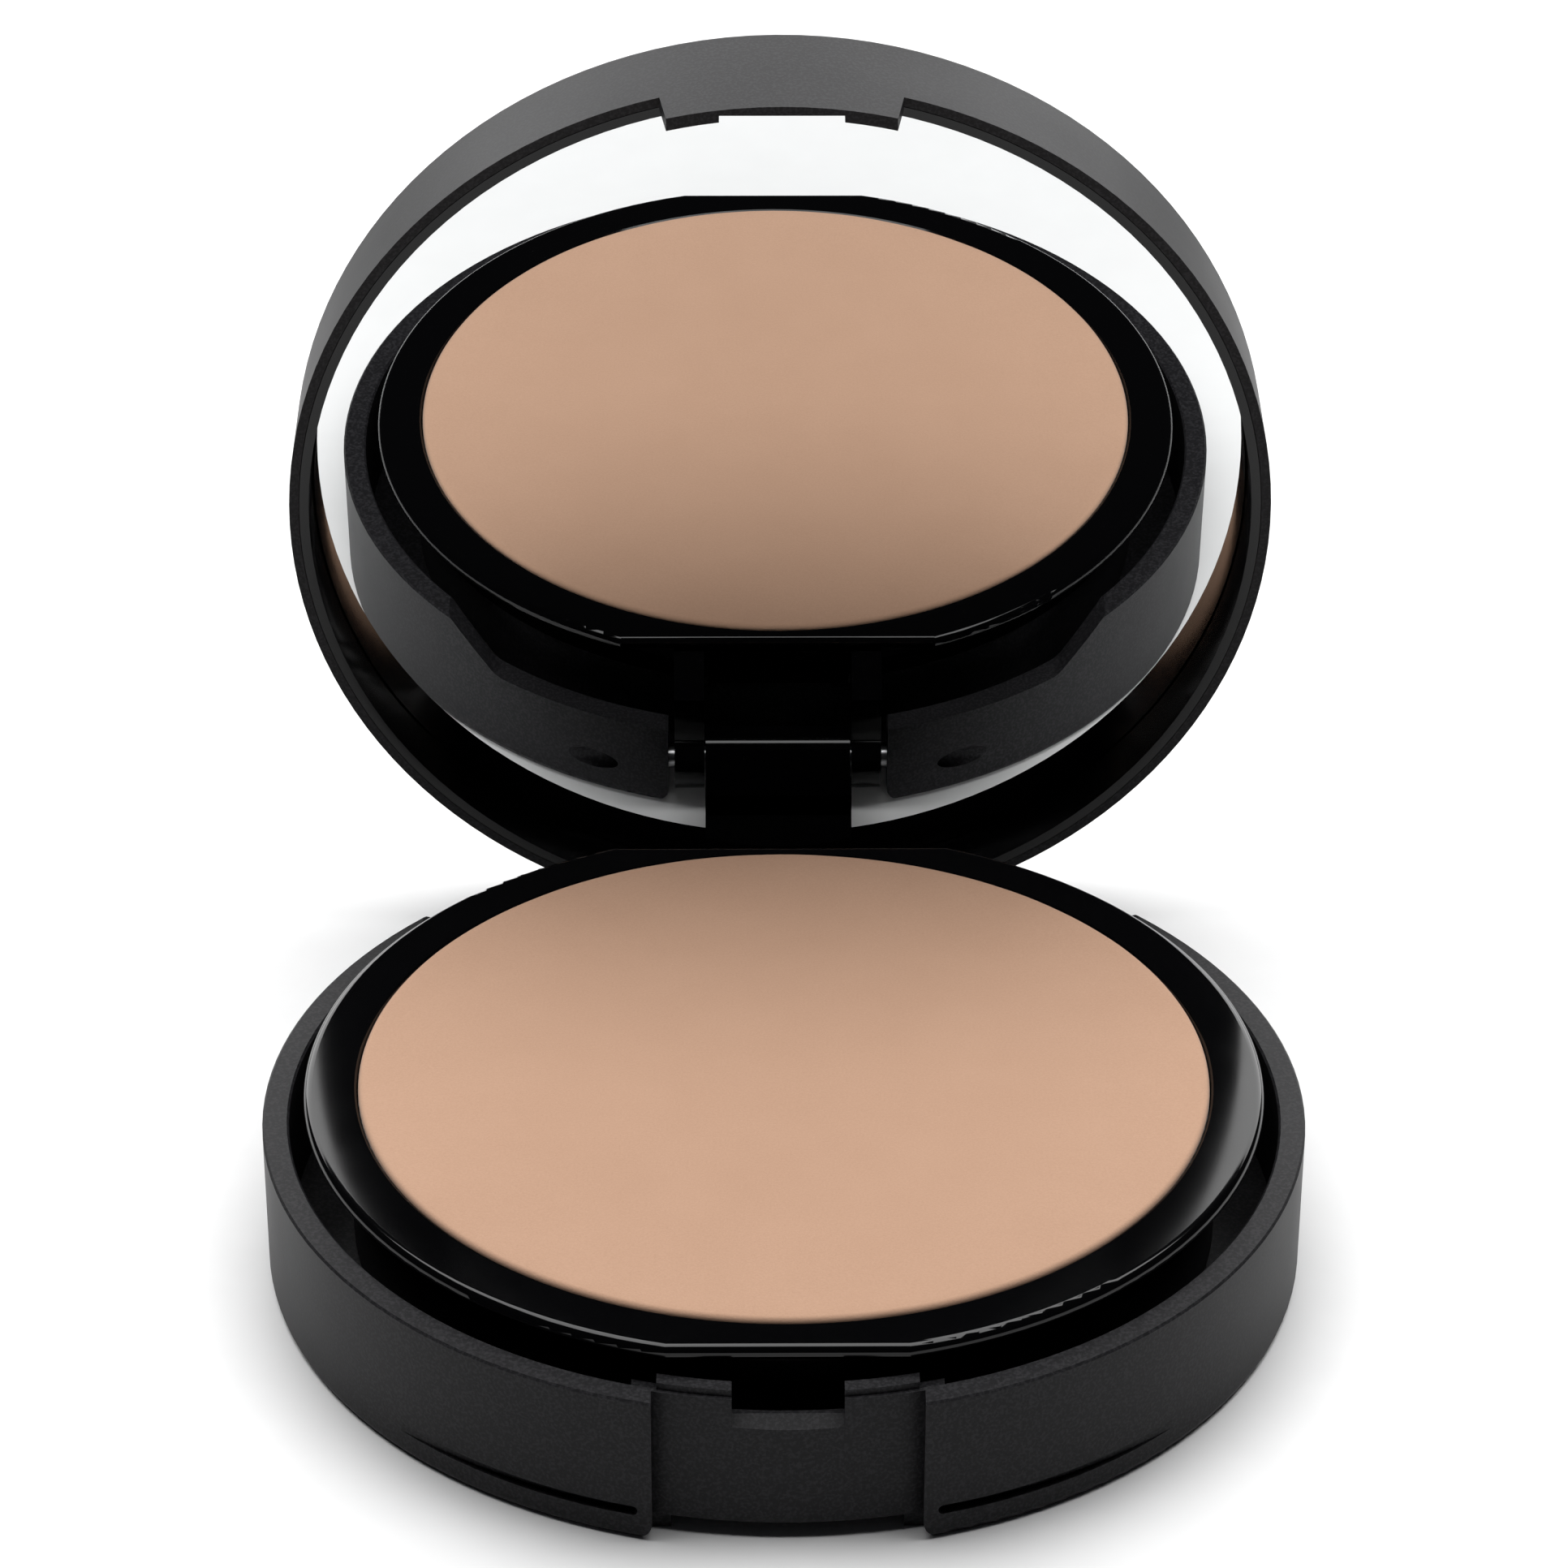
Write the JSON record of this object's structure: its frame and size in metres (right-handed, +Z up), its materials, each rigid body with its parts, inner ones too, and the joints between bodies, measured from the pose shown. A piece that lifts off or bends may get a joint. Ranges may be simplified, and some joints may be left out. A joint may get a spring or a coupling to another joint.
{
  "type": "powder compact",
  "caption": "Round black pressed-powder compact with a mirror lid and a hinged powder tray over a sponge compartment, all turning on a single pin.",
  "frame": {"origin": "centre of the base on the surface that it stands on", "axes": "+Z up, +Y from the finger recess to the hinge, +X to the user's right when the mirror faces the user"},
  "size_m": [0.073, 0.085, 0.0739],
  "materials": {
    "soft_touch_black": "soft-touch matte lacquer, fine speckle",
    "gloss_black": "polished moulded black",
    "pressed_powder": "dry pressed powder, fine grain",
    "pan_aluminium": "drawn, satin",
    "mirror_silver": "silvered glass",
    "pin_steel": "drawn wire",
    "sponge_foam": "fine latex foam",
    "adhesive": "double-sided tape",
    "label_black": "blank satin film"
  },
  "bodies": {
    "base": {"base_shell": "soft_touch_black", "underside_label": "label_black", "hinge_pin": "pin_steel", "sponge": "sponge_foam"},
    "tray": {"tray_shell": "gloss_black", "pan_adhesive": "adhesive", "powder_pan": "pan_aluminium", "powder_cake": "pressed_powder"},
    "lid": {"lid_shell": "soft_touch_black", "lid_frame": "gloss_black", "mirror_tape": "adhesive", "mirror_glass": "mirror_silver"}
  },
  "joints": [
    {"name": "tray_lift", "type": "hinge", "parent": "base", "child": "tray", "pos_m": [0, 0.03325, 0.0031], "axis": [-1, 0, 0], "range_deg": [0, 45]},
    {"name": "lid_hinge", "type": "hinge", "parent": "tray", "child": "lid", "pos_m": [0, 0.03325, 0.0031], "axis": [-1, 0, 0], "range_deg": [-84.75, 4]}
  ]
}
